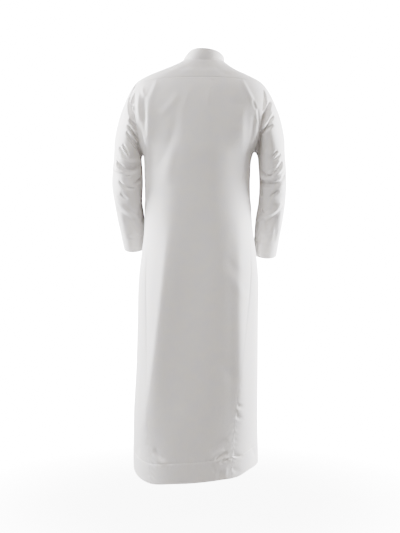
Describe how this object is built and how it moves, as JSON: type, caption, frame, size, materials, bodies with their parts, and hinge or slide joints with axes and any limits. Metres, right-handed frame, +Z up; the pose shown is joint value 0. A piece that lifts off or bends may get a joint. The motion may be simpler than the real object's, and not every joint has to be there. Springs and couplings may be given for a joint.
{
  "type": "thobe robe",
  "caption": "Long white robe in the form it has when worn, with a stand collar, back yoke, long cuffed sleeves, gored sides and a front placket, open at neck, hem and cuffs.",
  "frame": {"origin": "centre of the wearer's shoulders, level with the side of the neck, where the robe hangs from the shoulders", "axes": "+Z up, -Y the robe's front with the placket, +Y its back, +X the wearer's left arm"},
  "size_m": [0.6083, 0.3417, 1.4775],
  "materials": {
    "white_cloth": "smooth plain-woven white suiting, softly matt",
    "button_plastic": "white pearl-like button plastic"
  },
  "bodies": {
    "root": {"back_panel": "white_cloth", "front_panel": "white_cloth", "side_panel_left": "white_cloth", "side_panel_right": "white_cloth", "yoke": "white_cloth", "collar_stand": "white_cloth", "sleeve_left": "white_cloth", "sleeve_right": "white_cloth", "cuff_left": "white_cloth", "cuff_right": "white_cloth", "placket": "white_cloth", "button_1": "button_plastic", "button_2": "button_plastic", "button_3": "button_plastic"}
  },
  "joints": []
}
